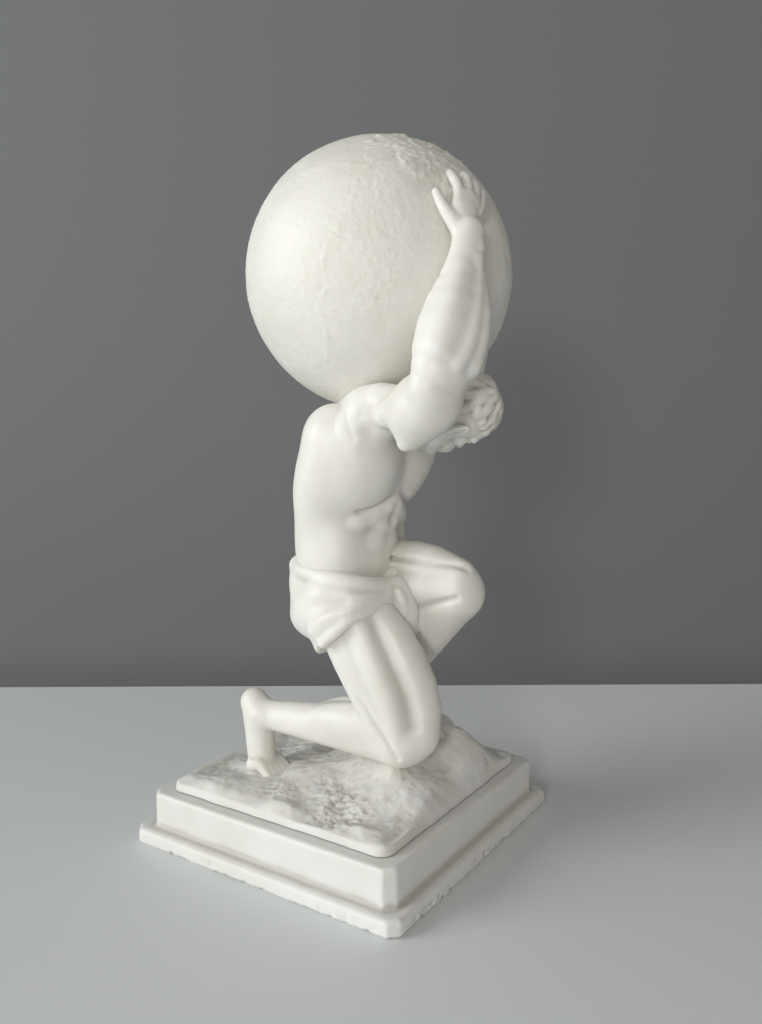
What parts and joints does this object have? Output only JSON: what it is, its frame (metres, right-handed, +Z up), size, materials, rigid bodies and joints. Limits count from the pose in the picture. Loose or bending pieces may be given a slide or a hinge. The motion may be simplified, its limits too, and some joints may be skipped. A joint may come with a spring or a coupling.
{
  "type": "kneeling atlas figure",
  "caption": "Cast resin statuette of a muscular man in a loincloth who kneels on rocky ground and carries a globe on the upper back with raised hands, on a square stepped plinth.",
  "frame": {"origin": "middle of the plinth's underside", "axes": "+Z up, +X the way the figure's chest faces, +Y to the figure's left, each parallel to the plinth's sides"},
  "size_m": [0.1244, 0.1259, 0.2505],
  "materials": {
    "cast_figure": "satin cast resin, warm white",
    "cast_plinth": "satin cast resin, warm white, rough along the bottom edge"
  },
  "bodies": {
    "root": {"atlas_with_globe": "cast_figure", "plinth": "cast_plinth"}
  },
  "joints": []
}
